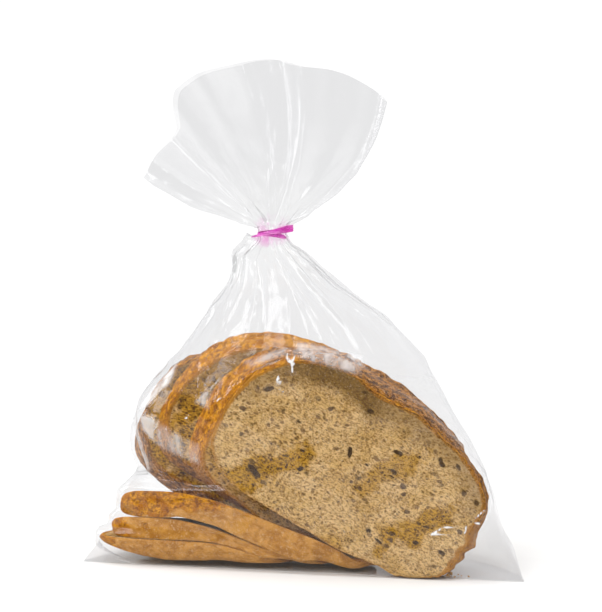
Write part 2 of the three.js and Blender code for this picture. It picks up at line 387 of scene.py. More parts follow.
def bread_material(name):
    """Seeded crumb inside a baked crust. Places are in mm in the slice's own frame. The crumb is
    two tans in soft patches, with swirling fine strokes where the cut opened it, holes and pits
    darkened by painted shade, seeds, and an olive streaky zone under the top crust. Painted shade
    also darkens it near the upper crust, partly in the strokes, and by the ochre mark on the
    slices behind the front one. The crust goes from floury tan over golden to rough brown by
    its marks."""
    n = Nodes(name)
    own = n.add("Attribute", out=1, settings={"attribute_name": "own"})
    mark_of = lambda key: n.add("Attribute", out=2, settings={"attribute_name": key})
    edge, crusty, hollow, rise = (mark_of(key) for key in ("edge", "crusty", "hollow", "rise"))
    ochre_and_shade, bake, flour, streaky = (mark_of(key) for key in ("ochre_and_shade", "bake", "flour", "streaky"))
    bent = n.swirled(own, 0.05, 7.0, 1.0)
    # crumb
    patches = n.between(n.noise(own, 0.06, 4, 0.65), 0.40, 0.66, 0.0, 0.42)
    # the ochre mark is a real ochre tone in patches, and painted shade where it covers the slices behind
    # the front one
    warm = n.number("MAXIMUM", ochre_and_shade, patches)
    light = n.blend(warm, (0.850, 0.570, 0.255), (0.580, 0.300, 0.018))
    dark = n.blend(warm, (0.390, 0.215, 0.065), (0.150, 0.062, 0.002))
    olive = n.times(n.times(n.between(rise, 0.25, 0.70), n.between(edge, 21, 11)), streaky)
    layers = n.noise(n.stretched(bent, (0.07, 0.3, 0.42)), 1.0, 4, 0.6)
    olive = n.times(olive, n.between(layers, 0.18, 0.44))
    light = n.blend(olive, light, (0.300, 0.160, 0.030))
    dark = n.blend(olive, dark, (0.080, 0.034, 0.005))
    # the fine strokes are sunk in the bump and drawn in the darker tan: partly the crumb's own tone, partly
    # painted shade in its small recesses
    strokes = n.noise(n.stretched(bent, (0.46, 0.80, 0.86)), 1.0, 5, 0.62)
    fine = n.noise(n.stretched(bent, (0.9, 1.2, 1.4)), 1.0, 2, 0.5)
    stroke = n.between(n.number("ADD", n.times(strokes, 0.62), n.times(fine, 0.38)), 0.58, 0.37)
    crumb = n.blend(stroke, light, dark)
    shape = n.number("MULTIPLY_ADD", n.noise(own, 0.9, 2, 0.5), 0.24, -0.12)
    near, pick, other = n.cells(n.stretched(bent, (0.17, 0.30, 0.27)), 1.0)
    brim = n.number("MULTIPLY_ADD", pick, 0.30, n.number("MULTIPLY_ADD", ochre_and_shade, 0.05, 0.04))
    pit = n.between(n.number("SUBTRACT", n.number("ADD", near, shape), brim), 0.05, -0.07)
    pit = n.times(pit, n.between(other, 0.10, 0.95))
    # painted shade: the pits, and below them the pokes, are darkened to dark brown for the shadow inside
    # the pores
    inside = n.blend(ochre_and_shade, (0.215, 0.115, 0.050), (0.045, 0.019, 0.004))
    crumb = n.blend(n.times(pit, 0.80), crumb, inside)
    small, pick2, other2 = n.cells(n.stretched(bent, (0.40, 0.55, 0.5), (5.2, 0, 1.4)), 1.0)
    wobbly = n.number("ADD", small, shape)
    brim = n.number("MULTIPLY_ADD", pick2, 0.40, 0.06)
    poke = n.between(n.number("SUBTRACT", wobbly, brim), 0.04, -0.05)
    poke = n.times(poke, n.number("MULTIPLY_ADD", ochre_and_shade, 0.35, 0.6), n.between(other2, 0.35, 0.5))
    crumb = n.blend(poke, crumb, (0.110, 0.050, 0.016))
    pale = n.noise(n.stretched(bent, (0.7, 0.9, 0.9), (7, 3, 2)), 1.0, 2, 0.5)
    pale = n.times(n.between(pale, 0.56, 0.74), n.number("MULTIPLY_ADD", warm, -0.5, 0.5))
    crumb = n.blend(pale, crumb, (0.900, 0.720, 0.420))
    # painted shade: the larger holes darken to near black
    crumb = n.blend(n.between(hollow, 0.15, 0.9, 0, 0.88), crumb, (0.055, 0.028, 0.014))
    # painted shade: the crumb darkens to brown-grey near the upper crust
    shade = n.times(n.between(edge, 22, 4), n.between(rise, -0.1, 0.35, 0, 0.50))
    crumb = n.blend(shade, crumb, (0.260, 0.150, 0.055))
    # seeds: grey-brown grains, some near black
    far_bent = n.swirled(own, 0.16, 5.0, 1.0)
    seed_near, seed_pick, seed_tone = n.cells(n.stretched(far_bent, (0.060, 0.10, 0.095), (3.1, 0, 1.7),
                                                          (0, 0.5, 0)), 1.0)
    seed_size = n.number("MULTIPLY_ADD", seed_tone, 0.10, 0.07)
    seed_edge = n.number("MULTIPLY_ADD", n.noise(own, 0.8, 2, 0.5), 0.10, -0.05)
    seed = n.between(n.number("SUBTRACT", n.number("ADD", seed_near, seed_edge), seed_size), 0.02, -0.03)
    seed = n.times(seed, n.between(seed_pick, 0.56, 0.60))
    crumb = n.blend(n.times(seed, 0.86), crumb,
                    n.blend(n.noise(own, 1.1, 2), (0.050, 0.026, 0.018), (0.170, 0.100, 0.062)))
    # crust
    mottle = n.noise(own, 0.15, 5, 0.62)
    speck = n.noise(own, 0.85, 4, 0.62)
    clumps = n.noise(n.swirled(own, 0.12, 3.0), 0.30, 4, 0.62)
    golden = n.blend(n.between(mottle, 0.36, 0.64), (0.420, 0.140, 0.000), (0.780, 0.345, 0.006))
    golden = n.blend(n.between(clumps, 0.46, 0.64, 0, 0.85), golden, (0.190, 0.055, 0.001))
    golden = n.blend(n.between(speck, 0.50, 0.64, 0, 0.7), golden, (0.190, 0.058, 0.001))
    brown = n.blend(n.between(clumps, 0.38, 0.62), (0.110, 0.034, 0.003), (0.520, 0.210, 0.026))
    brown = n.blend(n.between(mottle, 0.52, 0.68, 0, 0.5), brown, (0.120, 0.050, 0.024))
    brown = n.blend(n.between(speck, 0.50, 0.64, 0, 0.8), brown, (0.050, 0.017, 0.004))
    brown = n.blend(n.between(speck, 0.44, 0.34, 0, 0.6), brown, (0.700, 0.430, 0.170))
    floury = n.blend(n.between(mottle, 0.36, 0.64), (0.400, 0.160, 0.014), (0.630, 0.300, 0.052))
    floury = n.blend(n.between(clumps, 0.55, 0.75, 0, 0.45), floury, (0.290, 0.105, 0.010))
    dust = n.times(n.between(speck, 0.50, 0.62), n.between(n.noise(own, 0.35, 3), 0.42, 0.62))
    floury = n.blend(n.times(dust, 0.45), floury, (0.76, 0.54, 0.28))
    uneven = n.number("MULTIPLY_ADD", mottle, 0.5, -0.25)
    crust = n.blend(n.between(n.number("ADD", bake, uneven), 0.25, 0.75), golden, brown)
    crust = n.blend(n.between(n.number("ADD", flour, uneven), 0.25, 0.75), crust, floury)
    lip = n.between(n.number("MULTIPLY_ADD", n.noise(own, 0.30, 3), 3.0, edge), -0.6, 1.0, 0, 0.85)
    crust = n.blend(n.times(lip, n.between(rise, -0.2, 0.15)), crust, golden)
    # the thin baked line where the crust meets the crumb
    ragged = n.number("MULTIPLY_ADD", n.noise(own, 0.35, 4, 0.6), -3.0, edge)
    baked = n.between(flour, 0.65, 0.2, 0.25, 1)
    crumb = n.blend(n.times(n.between(ragged, 1.3, 0.0, 0, 0.5), baked), crumb, golden)
    crumb = n.blend(n.times(n.between(ragged, 1.0, -0.6, 0, 0.8), baked), crumb,
                    n.blend(bake, (0.50, 0.21, 0.02), brown))
    colour = n.blend(crusty, crumb, crust)
    sunk = n.number("ADD", n.times(stroke, 0.55), n.number("ADD", n.times(pit, 0.8), n.times(poke, 0.6)))
    height = n.number("MULTIPLY_ADD", sunk, -1.0, n.times(seed, 0.4))
    lumps = n.number("ADD", n.times(clumps, n.number("MULTIPLY_ADD", bake, 1.4, 0.8)), n.times(speck, 0.35))
    relief = n.add("Mix", settings={"data_type": "FLOAT"}, in0=crusty, in2=height, in3=lumps)
    bump = n.add("Bump", Height=relief, Strength=0.7, Distance=0.0011)
    rough = n.add("Mix", settings={"data_type": "FLOAT"}, in0=crusty,
                  in2=n.between(fine, 0.3, 0.7, 0.86, 0.96), in3=n.between(speck, 0.3, 0.7, 0.45, 0.70))
    shader = n.add("BsdfPrincipled", Base_Color=colour, Roughness=rough, Normal=bump,
                   Specular_IOR_Level=0.14)
    return n.finish(shader)


seeded_bread = bread_material("seeded_bread")

# name, width, height, thick, roll, lean, yaw, place, how far its lower edge sags, seed
STANDING = [
    ("slice_front", 168, 99.5, 14.5, 27.0, 2, 0, (32.9, -41, 67.6), 0, 11),
    ("slice_second", 176, 110, 14, 17.0, 1, -1, (16.9, -25.2, 70.3), 0, 23),
    ("slice_third", 188, 109, 14, 14.5, 0, -2, (-3.5, -9.6, 80.2), 8, 37),
    ("slice_fourth", 166, 103, 14, 19.5, 0, -3, (-34.0, 6.0, 66.6), 6, 41),
]
# round each slice: how far its crust spreads behind the cut, how brown it is baked, its flour
FLARE = {
    "slice_front": [(0, 4), (5, 2.5), (11, 0.3), (31, 0), (46, 1.4), (61, 1.5), (78, 4), (90, 6), (97, 6),
                    (105, 4.5), (114, 2), (130, 2.5), (147, 2.5), (168, 1.5), (186, 0.3), (333, 0.3),
                    (342, 2.5), (352, 4)],
    "slice_second": [(20, 2), (60, 5), (125, 5), (148, 9), (165, 13), (185, 14), (205, 12), (225, 8),
                     (240, 1), (330, 0.5)],
    "slice_third": [(20, 2), (60, 7), (110, 9), (150, 10), (175, 8), (188, 8), (200, 13), (225, 13),
                    (245, 2), (330, 0.5)],
    "slice_fourth": [(20, 2), (90, 2.5), (170, 2), (188, 5), (200, 14), (225, 16), (250, 14), (270, 6),
                     (330, 1)],
}
BAKE = {
    "slice_front": [(0, 0.5), (20, 1), (138, 1), (150, 0.15), (190, 0.0), (330, 0.2)],
    "slice_second": [(10, 0.8), (138, 0.9), (150, 0.1), (195, 0.1), (205, 0.55), (240, 0.6), (330, 0.2)],
    "slice_third": [(10, 0.8), (88, 0.75), (104, 0.2), (185, 0.2), (198, 0.6), (225, 0.8), (330, 0.4)],
    "slice_fourth": [(10, 0.8), (120, 0.9), (200, 1), (330, 1)],
}
FLOUR = {
    "slice_front": [(190, 0.1), (215, 0.7), (320, 0.7), (345, 0.1)],
    "slice_second": [(0, 0.1), (190, 0.0), (240, 0.2), (320, 0.4)],
    "slice_third": [(20, 0.1), (90, 0.1), (108, 0.5), (145, 0.4), (162, 0.0), (330, 0.1)],
    "slice_fourth": [(0, 0.0), (180, 0.0)],
}
# x, z, half width, half length, slant and depth of the larger holes in the front slice
FRONT_HOLES = [
    (-50, -33, 2.1, 6.4, -0.40, 1.5), (-4, 5.4, 1.3, 3.4, 1.87, 1.3), (-4.3, 32.6, 1.5, 2.1, 0.3, 1.1),
    (47, 26, 1.4, 3.4, -0.66, 1.2), (21.7, 19, 1.5, 3.2, 0.1, 1.0), (75.8, 15, 1.3, 1.9, -0.6, 1.1),
    (66.8, 16.5, 1.5, 2.4, -0.8, 0.8), (57, 28.5, 1.1, 2.3, -0.6, 1.0), (72, -21, 1.5, 2.4, 0.1, 0.9),
    (55.6, -23.3, 1.4, 1.9, 0.2, 1.1), (35.6, -33.5, 1.0, 2.8, -0.2, 1.1), (71, -31, 1.1, 4.4, 0.55, 0.6),
    (-64.6, 15.3, 1.5, 3.4, 0.8, 1.2), (-26, -18.7, 1.3, 1.7, 0.2, 1.3), (-51, 8, 1.0, 1.9, 0.7, 0.8),
    (-30, -8, 1.0, 1.8, 0.2, 0.9), (8, -6, 1.1, 1.8, 0.9, 0.8),
]
# how olive and streaky the crumb is, round the slice
STREAKY = [(20, 0.0), (50, 0.15), (75, 0.2), (88, 0.6), (98, 1.0), (140, 1.0), (165, 0.3), (180, 0.0)]
# x, z, half length, half height, slant and strength of the ochre patches; on the three slices behind
# # the front one the single broad patch is painted shade, which darkens their crumb
OCHRE_AND_SHADE = {
    "slice_front": [(-42.7, -28.5, 36, 11, 49, 0.95), (19.8, 2.7, 27, 8, 55, 0.8),
                    (11.9, -47, 16, 7, 45, 0.75), (47.5, -20.7, 34, 10, 48, 0.95)],
    "slice_second": [(-40, -6, 70, 50, 0, 0.8)],
    "slice_third": [(-50, -2, 80, 62, 0, 0.95)],
    "slice_fourth": [(-50, -6, 70, 50, 0, 1.0)],
}
contents = []
for name, width, height, thick, roll, lean, yaw, place, sag, seed in STANDING:
    first = name == "slice_front"
    points, faces, marks = slice_body(
        width, height, thick, seed,
        around=560 if first else 420,
        across=62 if first else 34,
        holes=24 if first else 30,
        named_holes=FRONT_HOLES if first else (),
        flare=FLARE[name],
        torn=(314, 359) if first else (),
        top_left=2.0 if name == "slice_third" else 2.3,
        top_right=2.2 if first else 2.1,
        low_right=3.6 if first else 2.6,
    )
    marks["ochre_and_shade"] = soft_spots(points, OCHRE_AND_SHADE[name], seed) * step(-points[:, 1], -4, 0)
    marks["bake"] = round_table(polar(points), BAKE[name])
    marks["flour"] = round_table(polar(points), FLOUR[name])
    marks["streaky"] = round_table(polar(points), STREAKY) * (1 if first else 0.3)
    world_points = turned(points, roll, lean, yaw, place)
    world_points[:, 2] -= sag * step(-world_points[:, 2], -50, -12)
    world_points[:, 2] = eased_onto_table(world_points[:, 2])
    piece = add_mesh(name, world_points * MM, faces)
    mark(piece, points + seed * 20, marks)
    piece.data.materials.append(seeded_bread)
    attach(piece, "root")
    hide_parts("bag")
    contents.append(world_points)

# ------------------------------------------------------------
# Lying slices: the three smaller slices from the end of the loaf, stacked flat at the front left
# with their floury bottom crusts to the front. Each droops over the end of the one below it and
# presses it thin there; the lowest ends in the thin tip of the loaf's heel.
# ------------------------------------------------------------
# name, width, depth, thick, middle x, near edge y, height at the left, droop from x to x, tilt and
# seed; they are shallow, so that they end in front of the rearmost standing slice
LYING = [
    ("end_slice", 120, 46, 15.6, -67, -51.0, 1.2, (-88, -40), 2, 53),
    ("low_slice", 136, 45, 13.6, -51, -49.6, 16.8, (-64, 14), 3, 61),
    ("top_slice", 158, 46, 16.4, -34, -50.4, 30.4, (-84, 38), 9, 71),
]


TABLE = 0.8  # the height of bread that lies on the film and the table


def underside(x, inward, rest, droop, tilt):
    """The height of a lying slice's underside at x, and inward of its front edge: an S-curve,
    TABLE + (rest - TABLE)(1 - S(x)), from the height it rests at down to the table, less
    inward x tan(tilt) where it is clear of the table."""
    base = TABLE + (rest - TABLE) * (1 - step(x, *droop))
    return base - inward * math.tan(math.radians(tilt)) * step(base, TABLE, 9.0)


def laid_down(points, name, thick, middle, near, rest, droop, tilt, covered_by):
    """A slice laid on its face: its bottom crust to the front, its upper face level with the top.
    The body stands square to its underside, thins toward the back, and is as thin as the slice
    that covers it leaves room for. The top slice thins behind its right end's front edge. Its
    left end closes as a half round, or, for the heel, its underside slants up to a thin tip. Where
    it lies on the table its lower front edge curves in by 4 and stands up to 4.5 clear of the table,
    so that it shades the gap under it. The top slice bridges a gap. Covered_by is the height, droop
    and tilt of the slice above."""
    x = points[:, 0] + middle
    y = points[:, 2] + near - points[:, 2].min()
    back_share = np.clip((y - near) / (y.max() - near), 0, 1)
    lift = (thick / 2 - points[:, 1]) * (1 - (0.15 if covered_by else 0.40) * back_share)
    left = np.clip((x - x.min()) / (30 if name == "end_slice" else 15), 0, 1)
    base = underside(x, y - near, rest, droop, tilt)
    if covered_by:
        lift *= np.clip((underside(x + 1.5, y - near, *covered_by) - base - 0.4) / thick, 0.06, 1)
    else:
        lift *= 1 - 0.55 * step(y - near, 0, 5) * step(x, 0, 26)
    if name == "end_slice":
        lift = thick - (thick - lift) * (0.10 + 0.90 * left**0.8)
    else:
        closed = 0.38 + 0.62 * np.sqrt(1 - (1 - left) ** 2)
        lift = thick * 0.45 + (lift - thick * 0.45) * closed
    if name == "top_slice":
        lift += 1.6 * step(x, -84, -72) * step(-x, 34, 52) * (1 - lift / thick)
    low_edge = np.clip(1 - lift / thick, 0, 1) * step(-base, -9, -3)
    clear = 3.2 + 1.3 * cloud(np.stack([x, 0 * x, 0 * x], 1) + 400, 16, 77)
    lift = lift + clear * low_edge * step(near - y, -30, -10)
    y = y + 4 * low_edge**2 * (1 - back_share) ** 3
    h = 0.5
    slope = (step(x - h, *droop) - step(x + h, *droop)) * (rest - TABLE) / (2 * h)
    length = np.sqrt(1 + slope ** 2)
    px = x - lift * slope / length
    pz = base + lift / length
    return np.stack([px, y, np.maximum(pz, TABLE + 0.02 * lift)], 1)


covers = [row[6:9] for row in LYING[1:]] + [None]
for row, covered_by in zip(LYING, covers):
    name, width, depth, thick, middle, near, rest, droop, tilt, seed = row
    points, faces, marks = slice_body(width, depth, thick, seed, around=420, across=30, holes=30,
                                      knobs=0.4, flare=((0, 1.0),), round_off=1.2, low_right=5.0,
                                      low_left=3.6)
    ragged = 0.10 * cloud(points + 60, 9, seed + 20) + 0.06 * cloud(points + 60, 3, seed + 21)
    leftward = -points[:, 0] / (width / 2) + ragged
    upward = -points[:, 1] / (thick / 2) + 2 * ragged
    golden = step(leftward, 0.74, 0.86)
    if name == "top_slice":
        golden = np.maximum(golden, step(leftward, -0.05, 0.1) * step(upward + 2.5 * leftward, 0.6, 0.95))
    under = step(leftward, 0.78, 0.9) * step(-upward, -0.3, 0.2)
    if name == "low_slice":
        eye = np.hypot(points[:, 0] + width / 2 - 24, points[:, 1] + 1.6)
        under = np.maximum(under, step(-eye, -3.2, -1.6) * (points[:, 2] < 0))
    marks["ochre_and_shade"] = soft_spots(points, [(0, 0, 50, 30, 0, 0.6)], seed)
    marks["bake"] = 0.5 * under
    marks["flour"] = 1 - np.maximum(golden, under)
    marks["streaky"] = 0 * golden
    world_points = laid_down(points, name, thick, middle, near, rest, droop, tilt, covered_by)
    piece = add_mesh(name, world_points * MM, faces)
    mark(piece, points + seed * 20, marks)
    piece.data.materials.append(seeded_bread)
    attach(piece, "root")
    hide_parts("bag")
    contents.append(world_points)

# ------------------------------------------------------------
# Crumbs: a few small torn bits of crumb and crust lying in the bag under the right end of the
# front slice, where it was torn.
# ------------------------------------------------------------


def crumb_bits(middles, sizes, seed):
    """Small lumps: a grid on a ball, going round by turn and from pole to pole, whose radius is
    the size times 1 + 0.45 cloud."""
    turn = np.arange(18) / 18 * 2 * np.pi
    down = np.linspace(0, np.pi, 11)[1:-1]
    ring = np.stack([np.sin(down)[:, None] * np.cos(turn), np.sin(down)[:, None] * np.sin(turn),
                     np.repeat(np.cos(down)[:, None], len(turn), 1)], -1).reshape(-1, 3)
    ball = np.vstack([ring, [0, 0, 1], [0, 0, -1]])
    points, faces = [], []
    for k, (middle, size) in enumerate(zip(middles, sizes)):
        lumpy = 1 + 0.45 * cloud(ball * 1.3 + 50 * (k + 1), 0.9, seed + k)
        lump = ball * lumpy[:, None] * size
        points.append(lump * (1, 1, 0.75) + middle)
        faces += [part + k * len(ball) for part in grid_faces(len(down), len(turn))]
    return np.vstack(points), faces


BITS = 9
rng = np.random.default_rng(8)
bit_size = 0.4 + 0.9 * rng.random(BITS) ** 1.6
bit_place = np.stack([rng.uniform(86, 106, BITS), rng.uniform(-46, -34, BITS), bit_size * 0.8 + TABLE], 1)
points, faces = crumb_bits(bit_place, bit_size, 3)
crumbs = add_mesh("crumbs", points * MM, faces)
crumb_marks = {"edge": 3, "crusty": 0.35, "hollow": 0, "rise": 0, "streaky": 0, "ochre_and_shade": 0.4,
               "bake": 0.2, "flour": 0.4}
plain = np.ones(len(points))
mark(crumbs, points + 900, {key: plain * value for key, value in crumb_marks.items()})
crumbs.data.materials.append(seeded_bread)
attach(crumbs, "root")
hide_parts("bag")

# ------------------------------------------------------------
# Bag: one tube of clear thin film, sealed flat along its bottom at the front and gathered by
# hand at the neck. It stands on its contents, spans tight from edge to edge of the slices, keeps
# a flat pointed ear at each end of the seam, and opens above the tie in a folded fan.
# ------------------------------------------------------------
FILM_AROUND, BASE_ROWS, BELLY_ROWS, NECK_ROWS, FRILL_ROWS = 532, 5, 124, 17, 42
NECK_X, NECK_HIGH = -26.5, 205.5
CLEAR_OF_BREAD = 1.6
# height, left, right, front, back, depth of the left seam, depth of the right seam, fullness
FILM_LEVELS = np.array([
    (0, 135.5, 135.5, 48, 43, -46.0, -46, 1.75),
    (12, 128.5, 130, 49.5, 46, -27, -44, 2.0),
    (28, 113.5, 121, 50, 47, -12, -42, 2.3),
    (48, 104, 113.5, 50, 46, -2, -38, 2.6),
    (75, 112, 102, 50, 43, 8, -36, 2.7),
    (98, 110, 87, 49, 41, 10, -30, 2.6),
    (122, 89, 71.5, 44, 37, 8, -20, 2.3),
    (145, 70, 50, 34, 29, 4, -8, 2.1),
    (168, 52, 17, 23, 20, 0, 0, 2.0),
    (186, 46, -6, 13, 12, 0, 0, 2.0),
])
BELLY_TOP = FILM_LEVELS[-1, 0]


def along_levels(z):
    """The named sizes at heights z: a Catmull-Rom curve through the levels, whose slope at each
    level is that of the line between its neighbours."""
    heights = FILM_LEVELS[:, 0]
    i = np.clip(np.searchsorted(heights, z, side="right") - 1, 0, len(heights) - 2)
    before, after = np.maximum(i - 1, 0), np.minimum(i + 2, len(heights) - 1)
    span = (heights[i + 1] - heights[i])[:, None]
    t = ((z - heights[i]) / span[:, 0])[:, None]
    a, b = FILM_LEVELS[i], FILM_LEVELS[i + 1]
    slope_a = (b - FILM_LEVELS[before]) / (heights[i + 1] - heights[before])[:, None] * span
    slope_b = (FILM_LEVELS[after] - a) / (heights[after] - heights[i])[:, None] * span
    return ((2 * t**3 - 3 * t**2 + 1) * a + (t**3 - 2 * t**2 + t) * slope_a
            + (3 * t**2 - 2 * t**3) * b + (t**3 - t**2) * slope_b)


def film_rings(z, spread):
    """Closed rings of film at heights z: four quarter outlines |x|^n + |y|^n = 1 that meet at the
    two side seams. Spread below 1 draws the back of the ring in towards the bottom seam."""
    size = along_levels(z)
    left, right, front, behind, seam_left, seam_right, full = (size[:, k, None] for k in range(1, 8))
    turn = (np.arange(FILM_AROUND) / FILM_AROUND * 2 * np.pi)[None]
    c, s = np.cos(turn), np.sin(turn)
    ca = np.sign(c) * np.abs(c) ** (2 / full)
    sa = np.sign(s) * np.abs(s) ** (2 / full)
    seam = seam_left + (seam_right - seam_left) * (ca + 1) / 2
    depth = np.where(s > 0, (behind - seam) * spread[:, None], front + seam)
    x = (right - left) / 2 + (right + left) / 2 * ca
    return np.stack([x, seam + depth * sa, np.repeat(z[:, None], FILM_AROUND, 1)], -1)


def hull_reach(rows_z, centres, points, directions):
    """How far the contents reach, seen from each row's centre, along each direction. The contents
    near a row are wrapped in a taut line: with h(a) their farthest extent along direction a, the
    line stands at min over a of h(a) / cos(a - direction)."""
    angles = np.arange(180) / 180 * 2 * np.pi
    gap = rows_z[1] - rows_z[0]
    bins = np.clip(np.round((points[:, 2] - rows_z[0]) / gap).astype(int), 0, len(rows_z) - 1)
    local = points[:, :2] - centres[bins]
    extent = np.full((len(rows_z), len(angles)), -1e3)
    for k, angle in enumerate(angles):
        np.maximum.at(extent[:, k], bins, local[:, 0] * math.cos(angle) + local[:, 1] * math.sin(angle))
    for _ in range(2):
        extent[1:-1] = np.maximum(extent[1:-1], np.maximum(extent[:-2], extent[2:]))
    facing = np.cos(angles[None] - directions[:, None])
    facing = np.where(facing > 0.12, facing, np.nan)
    return np.nan_to_num(np.nanmin(extent[:, None, :] / facing[None], axis=2), nan=0.0)


def smooth_grid(values, times):
    """Each value eased toward the mean of its four neighbours on the grid, a number of times."""
    for _ in range(times):
        side = (np.roll(values, 1, 1) + np.roll(values, -1, 1)) / 2
        above = np.concatenate([values[:1], values[:-1]])
        below = np.concatenate([values[1:], values[-1:]])
        values = 0.5 * values + 0.25 * side + 0.125 * (above + below)
    return values


belly_z = np.linspace(0.4, BELLY_TOP, BELLY_ROWS)
film = np.concatenate([
    film_rings(np.full(BASE_ROWS, 0.3), np.linspace(0, 0.90, BASE_ROWS)),
    film_rings(belly_z, np.ones(BELLY_ROWS)),
])
# the film stands clear of the bread
everything = np.vstack(contents)
size = along_levels(belly_z)
centres = np.stack([(size[:, 2] - size[:, 1]) / 2, np.zeros(BELLY_ROWS)], 1)
directions = np.arange(360) / 360 * 2 * np.pi
reach = hull_reach(belly_z, centres, everything, directions) + CLEAR_OF_BREAD
reach[(belly_z > everything[:, 2].max() + 4)] = 0
reach = np.maximum(reach, smooth_grid(reach, 12))
belly = film[BASE_ROWS:]
away = belly[..., :2] - centres[:, None]
own_reach = np.linalg.norm(away, axis=-1)
heading = np.degrees(np.arctan2(away[..., 1], away[..., 0])) % 360
low = heading.astype(int) % 360
part = heading - np.floor(heading)
row = np.arange(BELLY_ROWS)[:, None]
needed = reach[row, low] * (1 - part) + reach[row, (low + 1) % 360] * part
soft = 1.5
new_reach = (own_reach + needed + np.sqrt((own_reach - needed) ** 2 + soft**2)) / 2 - soft / 4
new_reach = np.maximum(new_reach, needed)
touching = step(needed - own_reach, -5.0, 0.5)
belly[..., :2] = centres[:, None] + away * (new_reach / own_reach)[..., None]
film[BASE_ROWS:] = belly

# the gathered neck and the frill above the tie
turn = np.arange(FILM_AROUND) / FILM_AROUND * 2 * np.pi
oval = np.stack([NECK_X + 7.4 * np.cos(turn), 5.8 * np.sin(turn), np.zeros(FILM_AROUND)], 1)
top_ring = film[-1]
neck = []
for t in np.linspace(0, 1, NECK_ROWS + 1)[1:]:
    close = 1 - (1 - min(t / 0.62, 1)) ** 1.5
    ring = top_ring * (1 - close) + oval * close
    ring[:, 2] = BELLY_TOP + (NECK_HIGH - BELLY_TOP) * t
    neck.append(ring)
frill = []
for s in np.linspace(0, 1, FRILL_ROWS + 1)[1:] ** 1.15:
    edge_left, edge_right = -80 + 10 * s**1.5, 70 - 27 * s**1.4
    across = np.cos(turn)
    fan = edge_left + (edge_right - edge_left) * (across + 1) / 2
    lap = step(fan, -46, -34)
    long = 85 + 16.5 * lap - 2.5 * step(fan, 0, 10) * step(-fan, -22, -12) + 1.8 * step(fan, 18, 30)
    grip = (1 - s) ** 2
    fold = 9.0 * s**0.9 * np.sin(2.6 * np.pi * across + 0.7)
    fold += 3.5 * s**0.8 * np.sin(6.3 * np.pi * across + 2.0)
    half = 5.8 + (5.5 + 3.0 * np.cos(4.2 * across + 0.5) - 5.8) * s
    a = np.radians(fan)
    frill.append(np.stack([
        NECK_X + 7.4 * across * grip + long * s * np.sin(a),
        half * np.sin(turn) + fold,
        NECK_HIGH + long * s * np.cos(a),
    ], 1))
film = np.concatenate([film, np.array(neck), np.array(frill)])
ROWS = len(film)


def normals_of(grid):
    """Outward unit normals: the cross product of the grid's two directions."""
    around = np.roll(grid, -1, 1) - np.roll(grid, 1, 1)
    up = np.gradient(grid, axis=0)
    normal = np.cross(around, up)
    return normal / np.maximum(np.linalg.norm(normal, axis=-1, keepdims=True), 1e-9)


def flats(points, count, tilt, bend, seed):
    """Crumpled film, flat between sharp ridges: at each point the lowest of many shallow tilted
    bowls, the least over i of |p - p_i|^2 / (2 bend) + g_i . (p - p_i)."""
    rng = np.random.default_rng(seed)
    middles = points[rng.integers(0, len(points), count)]
    lowest = np.full(len(points), 1e9)
    for middle, slope in zip(middles, rng.normal(0, tilt, (count, 3))):
        away = points - middle
        lowest = np.minimum(lowest, (away**2).sum(1) / (2 * bend) + away @ slope)
    return lowest


def line_fold(points, start, end, wide):
    """A sharp fold along a straight line in x and z: exp(-d / wide), d the distance from it."""
    flat = points[..., [0, 2]]
    line = np.subtract(end, start)
    t = np.clip(((flat - start) @ line) / (line @ line), 0, 1)
    d = np.linalg.norm(flat - start - t[..., None] * line, axis=-1)
    return np.exp(-d / wide) * step(t, 0.0, 0.25) * step(-t, -1.0, -0.75)


def outline_mask(points, corners):
    """1 inside a flat shape with these corners in x and z, anticlockwise, and 0 outside: a smooth
    step of the least distance from its sides."""
    flat = points[..., [0, 2]]
    inside = np.full(flat.shape[:-1], 1e3)
    for start, end in zip(corners, [*corners[1:], corners[0]]):
        side = np.subtract(end, start) / np.linalg.norm(np.subtract(end, start))
        away = flat - start
        inside = np.minimum(inside, away[..., 1] * side[0] - away[..., 0] * side[1])
    return step(inside, -0.8, 2.4)


# ridges and gathers that run from the neck both ways, and loose creases in between
rng = np.random.default_rng(5)
step_mm = np.linalg.norm(np.roll(film, -1, 1) - film, axis=-1) / (2 * np.pi / FILM_AROUND)
ripple = np.zeros(film.shape[:2])
lift = np.arange(ROWS)[:, None] - (BASE_ROWS + BELLY_ROWS + NECK_ROWS * 0.6)
below = np.clip(-lift / (BELLY_ROWS + NECK_ROWS * 0.6), 0, 1)
above = np.clip((np.arange(ROWS)[:, None] - (ROWS - FRILL_ROWS)) / FRILL_ROWS, 0, 1)
for _ in range(64):
    start, drift = rng.uniform(0, 2 * np.pi), rng.normal(0, 0.35)
    long, tall, wide = rng.uniform(0.16, 0.62), rng.uniform(0.5, 2.6), rng.uniform(1.4, 4.2)
    off = (turn[None] - start - drift * below + np.pi) % (2 * np.pi) - np.pi
    d = off * step_mm / (wide * (0.35 + 1.6 * below))
    shape = 0.55 * np.exp(-d**2) + 0.45 * np.exp(-np.abs(d) * 1.6)
    ripple += (lift < 0) * tall * shape * step(-below, -long, -long * 0.35) * rng.choice([1, -0.6])
for _ in range(70):
    start, drift = rng.uniform(0, 2 * np.pi), rng.normal(0, 0.22)
    long, tall, wide = rng.uniform(0.25, 1.15), rng.uniform(0.2, 1.3), rng.uniform(1.6, 4.5)
    off = (turn[None] - start - drift * above + np.pi) % (2 * np.pi) - np.pi
    d = off * step_mm / (wide * (0.4 + 1.5 * above))
    shape = 0.5 * np.exp(-d**2) + 0.5 * np.exp(-np.abs(d) * 1.7)
    ripple += (above > 0) * tall * shape * step(-above, -long, -long * 0.4) * rng.choice([1, -1])
gather = np.zeros(FILM_AROUND)
